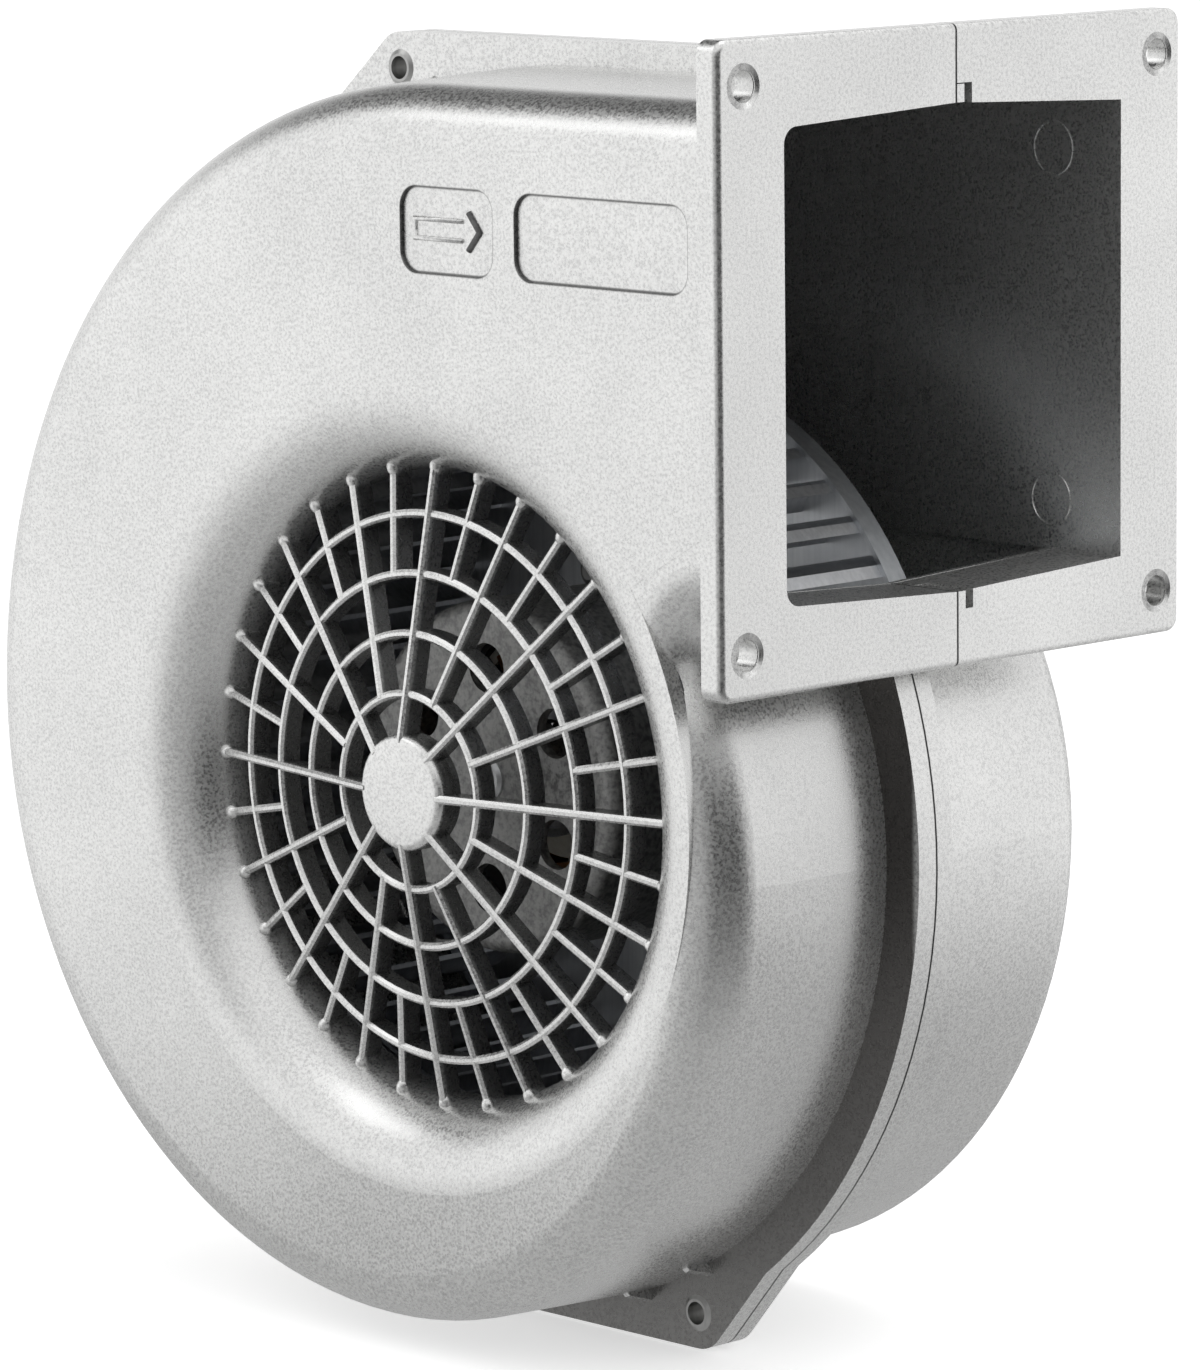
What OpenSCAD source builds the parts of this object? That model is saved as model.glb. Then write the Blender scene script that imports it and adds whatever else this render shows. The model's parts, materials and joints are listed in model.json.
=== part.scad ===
// Centrifugal blower with a snail-shell housing cast in two halves.
// The origin is the centre of the outlet flange's face, +X blows out, +Z is up, -Y is the inlet side.
// Most modules are drawn looking at the inlet: x to the right, y up, z towards the inlet,
// with the impeller's axis at x = 0, y = 0 and the plane between the two castings at z = 0.

/* [Outlet flange] */
// Width of the flange, across both castings
flange_w = 115.4; // [106:0.2:130]
// Height of the flange
flange_h = 110; // [106:0.5:125]
// Thickness of the flange
flange_t = 4.6; // [3:0.2:7]
// Radius of the flange's corners
flange_corner = 2.6; // [1.8:0.2:5]
// Radius of the flange's outer edge on its face
flange_edge = 1.2; // [0.4:0.1:1.6]
// Distance between the flange's bolts, across
bolt_across = 102.8; // [98:0.2:106]
// Distance between the flange's bolts, up
bolt_up = 94.4; // [90:0.2:98]
// Diameter of a flange hole
bolt_hole = 5.5; // [4:0.1:6.5]
// Height of the flange's middle above the impeller's axis
outlet_rise = 81.8; // [78:0.2:86]
// Distance of the flange's face from the impeller's axis
outlet_reach = 92.3; // [86:0.5:110]
// Height of the duct's floor above the impeller's axis, at the joint plane
floor_rise = 39.9; // [36:0.2:44]

/* [Snail shell] */
// Outer radius of the shell's first quarter, at the joint plane
scroll_r = 91; // [88:0.2:95]
// Growth of the radius from one quarter to the next
scroll_step = 14.8; // [11:0.2:16]
// Sideways shift of the shell's arcs from the impeller's axis
scroll_side = -3.85; // [-6:0.1:0]
// Upward shift of the shell's arcs from the impeller's axis
scroll_up = -1.25; // [-3:0.1:1]
// Wall of both castings
wall = 3.3; // [2.4:0.1:4]
// Depth of the front casting
front_depth = 45.2; // [42:0.2:52]
// Depth of the back casting
back_depth = 48.5; // [48:0.5:58]
// Radius of the front casting's outer edge
front_round = 10; // [7:0.5:13]
// Radius of the back casting's outer edge
back_round = 5; // [4.5:0.25:8]
// Draft of the cast walls, in degrees
draft = 2.5; // [0.5:0.25:4]
// Radius of the tongue where the shell meets the duct's floor
tongue_r = 10; // [7:0.5:14]
// Half of the duct's width at its outlet, on the back side
back_mouth = 42; // [38:0.5:44]

/* [Joint rim and ears] */
// Width of the rim around the joint
rim_w = 7.5; // [5:0.25:9]
// Thickness of the front casting's rim
front_rim_t = 4.5; // [3:0.25:6]
// Thickness of the back casting's rim
back_rim_t = 4; // [3:0.25:6]
// Radius of an ear around its hole
ear_r = 6.6; // [5.6:0.1:8]
// Upper ear's hole, to the right of the axis
ear_top_x = -41.3; // [-46:0.1:-36]
// Upper ear's hole, above the axis
ear_top_y = 124.4; // [122:0.1:127]
// Lower ear's hole, to the right of the axis
ear_low_x = 32.5; // [28:0.1:36]
// Lower ear's hole, above the axis
ear_low_y = -96.2; // [-99:0.1:-95]
// Bore of the hollow rivets in the ears
rivet_bore = 4.2; // [3:0.1:4.6]
// Wall of the hollow rivets
rivet_wall = 0.5; // [0.3:0.05:0.8]

/* [Inlet and grille] */
// Radius where the inlet's flare starts in the front face
flare_r = 72; // [68:0.5:76]
// Radius of the flare's curve
flare_round = 15.5; // [13:0.5:17]
// Radius of the grille's hub
hub_r = 10.2; // [8:0.2:13]
// Depth of the grille's hub
hub_deep = 5; // [4:0.5:8]
// Radius of the innermost ring
ring_first = 17.5; // [16:0.1:20]
// Step from one ring to the next
ring_step = 10.5; // [9:0.1:11]
// Number of rings
ring_count = 4; // [2:1:4]
// Fall of the grille from its hub to the flare, per mm of radius
grille_fall = 0.193; // [0:0.005:0.25]
// Width of a rib
rib_w = 1.5; // [1:0.1:2.2]
// Depth of a rib
rib_deep = 4.4; // [3:0.1:6]
// How far the long spokes stand out in front of the rings
spoke_proud = 0.5; // [0.1:0.1:1]
// Number of spokes that reach the hub
spokes = 8; // [4:1:8]

/* [Impeller] */
// Outer radius of the blades
wheel_r = 70; // [66:0.2:71]
// Inner radius of the blades
blade_in = 59; // [57:0.2:61]
// Number of blades
blades = 48; // [24:1:56]
// Radius of a blade's curve
blade_curve = 9; // [7:0.5:12]
// Thickness of the wheel's sheet
sheet = 1; // [0.7:0.1:1.4]
// Distance of the back plate behind the joint plane
wheel_back = 20; // [16:0.5:22]
// Gap between the wheel and the inlet's lip
wheel_gap = 1.6; // [1:0.1:3]
// Width of the strip that joins the blades at each end
strip_w = 4.5; // [3:0.1:7]

/* [Motor] */
// Outer radius of the rotor's can
can_r = 32; // [30:0.2:34]
// Wall of the rotor's can
can_wall = 2.2; // [1.6:0.1:2.6]
// Distance of the can's closed end in front of the joint plane
can_front = 24; // [22:0.5:26]
// Radius of the can's collar, which carries the wheel
collar_r = 40; // [38.5:0.5:44]
// Thickness of the magnet ring
magnet_t = 3; // [2:0.1:3.4]
// Gap between magnets and stator
air_gap = 0.6; // [0.4:0.05:1]
// Height of the stator's stack
stack_h = 22; // [18:0.5:24]
// Number of stator teeth
teeth = 9; // [6:3:12]
// Radius of the shaft
shaft_r = 4; // [3.5:0.1:4.4]
// Outer radius of a bearing
bearing_r = 11; // [10.5:0.1:12]
// Width of a bearing
bearing_w = 7; // [6:0.2:8]
// Wall of the tube that holds the bearings
tube_wall = 2.5; // [2:0.1:3]
// Radius of the motor's base
base_r = 36; // [34:0.5:40]
// Thickness of the motor's base
base_t = 4; // [3:0.25:6]
// Radius of the circle of the base's screws
screw_circle = 30; // [28:0.5:31]
// Diameter of the base's screws
screw_d = 4; // [3:0.5:4.5]

/* [Small parts] */
// Clearance of a screw in its hole
hole_gap = 0.2; // [0.1:0.05:0.4]
// Depth of the two sunk fields in the front face
field_deep = 0.7; // [0.3:0.1:1.2]
// Height of both fields
field_h = 15.3; // [10:0.1:18]
// Width of the left field, which holds the arrow
arrow_field_w = 23.4; // [16:0.2:26]
// Width of the right field
plain_field_w = 42; // [30:0.5:43]
// Radius of the fields' corners
field_corner = 4; // [1:0.25:5]
// Length of the lip that the front casting puts into the back one, at the flange
lip_long = 2; // [1:0.25:2.5]
// Height of the small ribs between the shell and its ears
gusset_h = 5.3; // [3:0.1:7]
// Width of these ribs on the ear
gusset_w = 1.9; // [1:0.1:2.5]
// Radius of the opening's front corners, at the flange
mouth_corner = 3; // [1.5:0.25:6]

/* [Hidden] */
$fn = 48;
// Facets of small round sections.
fine = 16;
slope = tan(draft);
over = 1;
// Each arc of the shell stops short of its centre, where the middle slab takes over.
core = 3;

// Centres and radii of the shell's arcs: each quarter grows by scroll_step.
half = scroll_step / 2;
c0 = [scroll_side + half, scroll_up - half];
c1 = [scroll_side - half, scroll_up - half];
c2 = [scroll_side - half, scroll_up + half];
c3 = [scroll_side + half, scroll_up + half];
r0 = scroll_r - scroll_step;
r1 = scroll_r;
r2 = scroll_r + scroll_step;
r3 = scroll_r + 2 * scroll_step;
roof = c3[1] + r3;

// The tongue is a bend about one centre between the first arc and the duct's floor. It runs
// under both by lap_angle and lies lap_step below them, so that the three join without a seam.
lap_step = 0.03;
lap_angle = 1.5;
bend_reach = r0 - wall + tongue_r - lap_step;
bend_angle = asin((floor_rise - tongue_r - c0[1]) / bend_reach);
bend = c0 + bend_reach * [cos(bend_angle), sin(bend_angle)];

flange_back = outlet_reach - flange_t;
duct_mid = (roof + floor_rise) / 2;
rim_top = ear_top_y + ear_r;
rim_low = ear_low_y - ear_r;

// The lips and the squared opening reach this far behind the flange.
lip_back = 6;
lip_z = front_depth - flare_round;
lip_r = wall / 2;
wheel_front = lip_z - lip_r - wheel_gap;
throat_r = flare_r - flare_round;

can_in = can_r - can_wall;
can_back = -wheel_back - sheet - 2 * can_wall;
magnet_in = can_in - magnet_t;
stator_r = magnet_in - air_gap;
tube_r = bearing_r + tube_wall;
stack_back = -18;
stack_front = stack_back + stack_h;
base_z = wall - back_depth;
base_top = base_z + base_t;
insulator_t = 1.2;
front_bearing_z = 1;
rear_bearing_z = -34;
tube_front = front_bearing_z + bearing_w + 1.5;
boss_r = 9;
boss_back = tube_front + 1.5;
board_z = -34;
board_t = 1.6;
board_r = 31;
post_r = 2.6;
post_at = [27, 60];
grommet_at = [0, -44];
grommet_r = 5;
rivet_circle = (can_r + collar_r) / 2;
wheel_rivet = 3;
field_y = 100.3;
arrow_field_x = 13.7;
plain_field_x = 51.8;
chip = [5, 4.8, 1.6];
chip_from = 19;
big_chip = [9, 10, 2.4];
big_chip_from = 18;
capacitor_r = 3.2;
capacitor_h = 6;
capacitor_at = 26;
screw_head_r = 2.4;
screw_head_h = 1.6;
screw_core_r = 1.18;
screw_deep = 4;
top_flank = 20;
low_flank = 35;
can_round = 3;
// Longer than any half of the part.
far = 200;
bolt_low = outlet_rise - bolt_up / 2;
bolt_high = outlet_rise + bolt_up / 2;

// Turns the drawing frame of the modules into the part's own frame.
module place() {
    translate([-outlet_reach, 0, -outlet_rise]) rotate([90, 0, 0]) children();
}

// Copies its child around the impeller's axis.
module around(n, start = 0) {
    for (i = [0 : n - 1]) rotate(start + i * 360 / n) children();
}

// A plain ring between two radii, from z to z + h.
module ring(outer, inner, h, z = 0) {
    translate([0, 0, z]) difference() {
        cylinder(r = outer, h = h);
        translate([0, 0, -over]) cylinder(r = inner, h = h + 2 * over);
    }
}

// Section through a cast wall: its outside is at x = 0 on the joint plane and leans inwards,
// and a round edge leads into the face at z = depth. The solid reaches back to -reach.
module wall_section(reach, depth, round_r, under) {
    zc = depth - round_r;
    xc = -(zc + round_r * sin(draft)) * slope - round_r * cos(draft);
    polygon([
        [-reach, -under], [under * slope, -under],
        [xc + round_r * cos(draft), zc + round_r * sin(draft)],
        [xc, zc], [xc, depth], [-reach, depth]
    ]);
    // a hair larger than the edge it rounds, so that it crosses the flat sides
    intersection() {
        translate([xc, zc]) circle(round_r + 0.004);
        translate([xc - 2 * round_r, depth - 2 * round_r]) square([4 * round_r, 2 * round_r]);
    }
}

// One arc of the shell as a solid slice, with its wall at radius r.
module arc_slice(c, r, from, sweep, depth, round_r, under) {
    translate(c) rotate(from) rotate_extrude(angle = sweep)
        translate([r, 0]) wall_section(r - core, depth, round_r, under);
}

// The shell's solid form, each wall moved inwards by inset. The casting is the form at
// inset 0 less the form at inset wall. The duct runs out to x = to.
module shell_form(inset, full_depth, full_round, to, under = 0) {
    depth = full_depth - inset;
    round_r = full_round - inset;
    bend_r = tongue_r - wall + inset;
    deck = bend_r + full_round + 8;
    knee = deck - 2;
    arc_slice(c0, r0 - inset, 0, bend_angle, depth, round_r, under);
    arc_slice(c1, r1 - inset, -90, 90, depth, round_r, under);
    arc_slice(c2, r2 - inset, -180, 90, depth, round_r, under);
    arc_slice(c3, r3 - inset, 90, 90, depth, round_r, under);
    // the bend at the tongue
    translate(bend) rotate(90 - lap_angle) rotate_extrude(angle = 90 + bend_angle + 2 * lap_angle)
        translate([bend_r, 0]) mirror([1, 0])
            wall_section(deck - bend_r, depth - 2 * lap_step, round_r, under);
    // the duct's roof
    translate([c3[0], roof - inset, 0]) rotate([90, 0, 90])
        linear_extrude(to - c3[0]) wall_section(roof - inset - duct_mid + over, depth, round_r, under);
    // the duct's floor
    translate([bend[0], bend[1] + bend_r - lap_step, 0]) rotate([90, 0, 90])
        linear_extrude(to - bend[0]) mirror([1, 0])
            wall_section(duct_mid - bend[1] - bend_r, depth, round_r, under);
    // the middle, inside all the arcs
    translate([0, 0, -under]) linear_extrude(depth + under) polygon([
        c1 - [core, core], c0 + [core, -core],
        bend + knee * [cos(180 + bend_angle), sin(180 + bend_angle)],
        bend + knee * [cos(135 + bend_angle / 2), sin(135 + bend_angle / 2)],
        bend + [0, knee], [bend[0], duct_mid + core], [c3[0] - core, duct_mid + core],
        c3 + [-core, core], c2 + [-core, core]
    ]);
}

// Outline of the rim and its two ears, flat.
module rim_outline() {
    intersection() {
        union() {
            translate(c1) circle(r1 + rim_w);
            intersection() {
                translate(c2) circle(r2 + rim_w);
                translate([c2[0] - far, c2[1] - far]) square([far, far]);
            }
            intersection() {
                translate(c3) circle(r3 + rim_w);
                translate([c3[0] - far, c3[1]]) square([far, far]);
            }
            translate([c3[0], 0]) square([flange_back + over - c3[0], rim_top]);
        }
        translate([-far, rim_low]) square([far + flange_back + over, rim_top - rim_low]);
        union() {
            translate(c1) circle(r1 + rim_w);
            translate([-far, c1[1]]) square([far + c3[0], far]);
            translate([-far, rim_low]) square([far + c1[0], far / 2]);
            translate([c3[0], floor_rise - 2 * wall]) square([far / 2, far]);
        }
    }
    ear_outline([ear_top_x, ear_top_y], 131, top_flank);
    ear_outline([ear_low_x, ear_low_y], -40, low_flank);
    translate([c1[0], rim_low]) square([ear_low_x - c1[0], ear_r * 2]);
    translate([ear_top_x, rim_top - 2 * ear_r]) square([c3[0] - ear_top_x, 2 * ear_r]);
}

// An ear: a disc about its hole and a flank that leaves it at an angle and runs into the rim.
module ear_outline(hole, angle, flank) {
    touch = hole + ear_r * [cos(angle), sin(angle)];
    translate(hole) circle(ear_r);
    polygon([hole, touch, touch + flank * [-sin(angle), cos(angle)], hole * 0.8]);
}

// A flat plate on z = 0 with round corners and a round upper edge, made of straight
// sides and turned corners that share one section.
module soft_plate(w, h, t, corner, edge) {
    module section() {
        square([corner, t - edge]);
        square([corner - edge, t]);
        translate([corner - edge, t - edge]) circle(edge, $fn = fine);
    }
    x = w / 2 - corner;
    y = h / 2 - corner;
    for (a = [0 : 3]) {
        across = a % 2 == 0 ? x : y;
        along = a % 2 == 0 ? y : x;
        rotate(90 * a) translate([across, along, 0]) {
            rotate_extrude(angle = 90) section();
            rotate([90, 0, 0]) linear_extrude(2 * along) section();
        }
    }
    translate([-x, -y, 0]) cube([2 * x, 2 * y, t]);
}

// The whole flange, standing at the duct's end.
module flange() {
    translate([flange_back, outlet_rise, 0]) rotate([90, 0, 90])
        soft_plate(flange_h, flange_w, flange_t, flange_corner, flange_edge);
}

// The flange's bolt holes.
module flange_holes() {
    for (y = [bolt_low, bolt_high], z = [-1, 1])
        translate([flange_back - over, y, z * bolt_across / 2]) rotate([0, 90, 0])
            cylinder(d = bolt_hole, h = flange_t + 2 * over);
}

module ear_holes(d) {
    for (p = [[ear_top_x, ear_top_y], [ear_low_x, ear_low_y]])
        translate([p[0], p[1], -20]) cylinder(d = d, h = 40);
}

// Height of the grille's front at radius r.
function grille_z(r) = front_depth - (r - hub_r) * grille_fall;

// Section of a rib with a bevelled front, its crest at y = 0.
module rib_section() {
    x = rib_w / 2;
    bevel = 0.3 * rib_w;
    polygon([[-x, -rib_deep], [x, -rib_deep], [x, -bevel], [x - bevel, 0], [bevel - x, 0], [-x, -bevel]]);
}

// A spoke from radius a to the flare, leaning back with the grille.
module spoke(a, lift) {
    lean = atan(grille_fall);
    reach = (throat_r + 1.6 - a) / cos(lean);
    translate([a, 0, grille_z(a) + lift]) rotate([0, lean, 0]) rotate([90, 0, 90])
        linear_extrude(reach) rib_section();
}

module grille() {
    translate([0, 0, front_depth - hub_deep]) cylinder(r = hub_r, h = hub_deep - 0.6);
    translate([0, 0, front_depth - 0.6]) cylinder(r1 = hub_r, r2 = hub_r - 0.6, h = 0.6);
    for (i = [0 : ring_count - 1]) {
        r = ring_first + i * ring_step;
        translate([0, 0, grille_z(r)]) rotate_extrude() translate([r, 0]) rib_section();
    }
    around(spokes) spoke(hub_r - 1, spoke_proud);
    around(spokes, 180 / spokes) spoke(ring_first, spoke_proud / 2);
    around(2 * spokes, 90 / spokes) spoke(ring_first + 2 * ring_step, 0);
}

// The inlet's flare: a quarter of a tube wall turned about the axis, with a round lip.
module flare() {
    rotate_extrude() {
        intersection() {
            translate([flare_r, lip_z]) difference() {
                circle(flare_round);
                circle(flare_round - wall);
            }
            translate([0, lip_z]) square([flare_r, flare_round + over]);
        }
        translate([throat_r + lip_r, lip_z]) circle(lip_r, $fn = fine);
    }
}

// A sunk field in the front face, w by h about its middle.
module field(x, y, w, h, corner) {
    translate([x, y, front_depth - field_deep]) linear_extrude(field_deep + over) union() {
        square([w - 2 * corner, h], center = true);
        square([w, h - 2 * corner], center = true);
        for (i = [-1, 1], j = [-1, 1])
            translate([i * (w / 2 - corner), j * (h / 2 - corner)]) circle(corner);
    }
}

// Squares the duct up to the opening's small corners, just inside the flange.
module mouth(depth, corner) {
    from = flange_back - lip_back;
    inner = depth - wall;
    translate([from, roof - wall, 0]) rotate([90, 0, 90])
        linear_extrude(outlet_reach + over - from)
            wall_section(roof - wall - duct_mid + over, inner, corner, over);
    translate([from, floor_rise - lap_step, 0]) rotate([90, 0, 90])
        linear_extrude(outlet_reach + over - from) mirror([1, 0])
            wall_section(duct_mid - floor_rise + lap_step, inner, corner, over);
}

// The front casting's lips at the roof and the floor of the opening, or with a gap around
// them the rebates in the back casting that take them.
module joint_lips(long, gap) {
    start = flange_back - lip_back - gap;
    high = wall - hole_gap + gap;
    for (y = [roof - wall - gap, floor_rise - lap_step - wall + hole_gap])
        translate([start, y, -long]) cube([outlet_reach + 5 * gap - start, high + gap, long + over]);
}

// A small rib in the corner between the shell's wall and an ear, on an arc of the shell.
module gusset(c, r, angle) {
    thick = 1.3;
    translate(c) rotate(angle) translate([r, thick / 2, front_rim_t]) rotate([90, 0, 0])
        linear_extrude(thick) polygon([[-1.5, -over], [gusset_w, -over], [gusset_w, 0],
            [gusset_w - 0.4, 0.8], [0.2, gusset_h - 0.4], [-0.4, gusset_h], [-1.5, gusset_h]]);
}

module front_housing() {
    color("gainsboro") place() {
        difference() {
            union() {
                shell_form(0, front_depth, front_round, flange_back + over);
                gusset(c1, r1, -70.3);
                gusset(c1, r1, -59.6);
                gusset(c3, r3, 107.4);
                linear_extrude(front_rim_t) rim_outline();
                intersection() {
                    flange();
                    cube([far, far, far / 2]);
                }
            }
            shell_form(wall, front_depth, front_round, outlet_reach + over, over);
            mouth(front_depth, mouth_corner);
            cylinder(r = flare_r, h = front_depth + over);
            flange_holes();
            ear_holes(rivet_bore + 2 * rivet_wall);
            field(arrow_field_x, field_y, arrow_field_w, field_h, field_corner);
            field(plain_field_x, field_y, plain_field_w, field_h, field_corner);
        }
        joint_lips(lip_long, 0);
        flare();
        grille();
    }
}

module back_housing() {
    color("silver") place() difference() {
        union() {
            mirror([0, 0, 1]) difference() {
                union() {
                    shell_form(0, back_depth, back_round, flange_back + over);
                    linear_extrude(back_rim_t) rim_outline();
                    intersection() {
                        flange();
                        cube([far, far, far / 2]);
                    }
                }
                shell_form(wall, back_depth, back_round, outlet_reach + over, over);
            }
            // the duct's back wall comes forward to the mouth
            mouth_ramp();
        }
        joint_lips(min(lip_long + 1.9, back_rim_t - 0.1), hole_gap);
        flange_holes();
        ear_holes(rivet_bore + 2 * rivet_wall);
        around(4, 45) translate([screw_circle, 0, -back_depth - over])
            cylinder(d = screw_d + 2 * hole_gap, h = wall + 2 * over);
        translate([grommet_at[0], grommet_at[1], -back_depth - over])
            cylinder(r = grommet_r, h = wall + 2 * over);
    }
}

// Thickens the duct's back wall evenly towards the mouth, where it meets the flange.
module mouth_ramp() {
    inner = back_depth - wall;
    translate([0, floor_rise + inner * slope - 0.5, 0]) rotate([-90, 0, 0]) linear_extrude(
        roof - wall - floor_rise - 2 * inner * slope + 1)
        polygon([[bend[0] - 50, inner], [outlet_reach, back_mouth], [outlet_reach, inner + 1],
            [bend[0] - 50, inner + 1]]);
}

// Hollow rivets through both ears, with a rolled flange at each end.
module ear_rivets() {
    color("lightgray") place() for (p = [[ear_top_x, ear_top_y], [ear_low_x, ear_low_y]])
        translate([p[0], p[1], 0]) difference() {
            union() {
                translate([0, 0, -back_rim_t])
                    cylinder(d = rivet_bore + 2 * rivet_wall, h = front_rim_t + back_rim_t);
                for (s = [0, 1]) mirror([0, 0, s])
                    translate([0, 0, s == 0 ? front_rim_t : back_rim_t])
                        cylinder(d1 = rivet_bore + 5 * rivet_wall, d2 = rivet_bore + 2 * rivet_wall,
                            h = rivet_wall);
            }
            translate([0, 0, -20]) cylinder(d = rivet_bore, h = 40);
        }
}

// The wheel's back plate, riveted to the can's collar, with a rim around the blades' ends.
module impeller_backplate() {
    color("silver") place() difference() {
        rotate_extrude() {
            translate([can_r, -wheel_back - sheet]) square([wheel_r + sheet - can_r, sheet]);
            translate([wheel_r, -wheel_back - sheet]) square([sheet, strip_w]);
        }
        around(6) translate([rivet_circle, 0, -wheel_back - 2 * sheet])
            cylinder(d = wheel_rivet, h = 3 * sheet);
    }
}

// One blade in section: an arc that leans forward in the turning direction.
module blade_section() {
    centre = [wheel_r - blade_curve + 1, 0];
    intersection() {
        difference() {
            circle(wheel_r);
            circle(blade_in);
        }
        translate(centre) difference() {
            circle(blade_curve + sheet / 2);
            circle(blade_curve - sheet / 2);
        }
        square([100, 100]);
    }
}

// The blades stand between the back plate and the front ring.
module impeller_blades() {
    color("lightslategray") place() around(blades) translate([0, 0, -wheel_back])
        linear_extrude(wheel_back + wheel_front - sheet) blade_section();
}

// The front ring folds back over the blades' ends.
module impeller_front_ring() {
    color("silver") place() rotate_extrude() {
        translate([blade_in - sheet, wheel_front - sheet])
            square([wheel_r + 2 * sheet - blade_in, sheet]);
        translate([wheel_r, wheel_front - strip_w]) square([sheet, strip_w]);
    }
}

module impeller_rivets() {
    color("lightgray") place() around(6) translate([rivet_circle, 0, -wheel_back - sheet - can_wall]) {
        cylinder(d = wheel_rivet - 0.02, h = can_wall + sheet);
        translate([0, 0, can_wall + sheet])
            cylinder(d1 = 2 * wheel_rivet, d2 = wheel_rivet, h = 1.2);
        translate([0, 0, -0.8]) cylinder(d1 = 4.4, d2 = 5.4, h = 0.8);
    }
}

// The motor's outer rotor: a can with a hub for the shaft, air holes and a collar.
module rotor_can() {
    color("gainsboro") place() difference() {
        rotate_extrude() difference() {
            union() {
                square([can_r - can_round, can_front]);
                square([can_r, can_front - can_round]);
                translate([can_r - can_round, can_front - can_round]) circle(can_round);
                translate([0, can_back]) square([can_r, 40]);
                translate([0, -wheel_back - sheet - can_wall]) square([collar_r, can_wall]);
            }
            difference() {
                translate([0, can_back - over]) square([can_in, can_front - can_wall - can_back + over]);
                translate([0, boss_back]) square([boss_r, 40]);
            }
            translate([0, can_back - over]) square([shaft_r, 100]);
        }
        around(6, 30) translate([20, 0, can_front - 2 * can_wall]) cylinder(r = 4.5, h = 3 * can_wall);
        around(6) translate([rivet_circle, 0, -wheel_back - sheet - 2 * can_wall])
            cylinder(d = wheel_rivet, h = 3 * can_wall);
    }
}

module magnet_ring() {
    color("dimgray") place()
        ring(can_in, magnet_in, stack_h + 4, stack_back - 2);
}

// The shaft, with a groove for its circlip and a turned-down tail.
module shaft() {
    color("lightsteelblue") place() difference() {
        union() {
            translate([0, 0, rear_bearing_z - 3]) cylinder(r = shaft_r, h = can_front + 1 - rear_bearing_z + 2.4);
            translate([0, 0, can_front + 0.4]) cylinder(r1 = shaft_r, r2 = shaft_r - 0.6, h = 0.6);
        }
        ring(shaft_r + 1, shaft_r - 0.6, 1.1, rear_bearing_z - 1.1);
    }
}

// The motor's base: a round foot, screwed to the shell's back wall, and the bearing tube.
module motor_base() {
    color("darkgray") place() difference() {
        union() {
            translate([0, 0, base_z]) cylinder(r = base_r, h = base_t);
            translate([0, 0, base_z]) cylinder(r = tube_r, h = stack_back - base_z);
            translate([0, 0, base_z]) cylinder(r = tube_r - 1, h = tube_front - base_z);
            around(4, 45) translate([screw_circle, 0, base_z]) cylinder(r = screw_d, h = base_t + 3);
            around(3, post_at[1]) translate([post_at[0], 0, base_z])
                cylinder(r = post_r, h = board_z - base_z);
        }
        translate([0, 0, base_z - over])
            cylinder(r = bearing_r, h = rear_bearing_z + bearing_w - base_z + over);
        translate([0, 0, rear_bearing_z]) cylinder(r = bearing_r - 1.5, h = 60);
        translate([0, 0, front_bearing_z]) cylinder(r = bearing_r, h = 20);
        around(4, 45) translate([screw_circle, 0, base_z - over])
            cylinder(d = screw_d, h = base_t + 2);
        around(3, post_at[1]) translate([post_at[0], 0, board_z - 5]) cylinder(r = 1.2, h = 6);
    }
}

// Outline of the laminated core: a ring with T-shaped teeth.
module core_outline(grow = 0) {
    difference() {
        union() {
            circle(tube_r + 3.4 + grow);
            around(teeth) translate([tube_r, -2 - grow]) square([stator_r - tube_r - 1.5, 4 + 2 * grow]);
            intersection() {
                difference() {
                    circle(stator_r - grow);
                    circle(stator_r - 2 - grow);
                }
                around(teeth) polygon([[0, 0], [40, -40 * tan(17)], [40, 40 * tan(17)]]);
            }
        }
        circle(tube_r - 1);
    }
}

module stator_core() {
    color("slategray") place() translate([0, 0, stack_back]) linear_extrude(stack_h) core_outline();
}

module front_insulator() {
    color("ivory") place() translate([0, 0, stack_front]) linear_extrude(insulator_t) core_outline();
}

module rear_insulator() {
    color("ivory") place() difference() {
        translate([0, 0, stack_back - insulator_t]) linear_extrude(insulator_t) core_outline();
        translate([0, 0, stack_back - 2 * insulator_t]) cylinder(r = tube_r, h = 2 * insulator_t);
    }
}

// Coils on the teeth: two bars beside each tooth and a rounded head at each end.
module stator_windings() {
    inner = tube_r + 3.9;
    outer = stator_r - 2.6;
    deep = outer - inner;
    color("peru") place() around(teeth) difference() {
        translate([inner, -3.6, stack_back - insulator_t - 2.2])
            cube([deep, 7.2, stack_h + 2 * insulator_t + 4.4]);
        translate([inner - over, -2.05, stack_back - insulator_t])
            cube([deep + 2 * over, 4.1, stack_h + 2 * insulator_t]);
    }
}

// The driver's round circuit board behind the stator.
module driver_board() {
    color("darkgreen") place() difference() {
        ring(board_r, tube_r + 1.5, board_t, board_z);
        around(3, post_at[1]) translate([post_at[0], 0, board_z - over]) cylinder(r = 1.4, h = 4);
    }
}

// Chips and capacitors on the board.
module driver_parts() {
    top = board_z + board_t;
    color("black") place() {
        around(6, 30) translate([chip_from, -chip[1] / 2, top]) cube(chip);
        for (a = [-10, 10])
            rotate(a) translate([capacitor_at, 0, top]) cylinder(r = capacitor_r, h = capacitor_h);
        rotate(240) translate([big_chip_from, -big_chip[1] / 2, top]) cube(big_chip);
    }
}

module board_screws() {
    color("silver") place() around(3, post_at[1]) translate([post_at[0], 0, board_z]) {
        translate([0, 0, board_t]) cylinder(r = screw_head_r, h = screw_head_h);
        translate([0, 0, -screw_deep]) cylinder(r = screw_core_r, h = screw_deep + board_t);
    }
}

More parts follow.
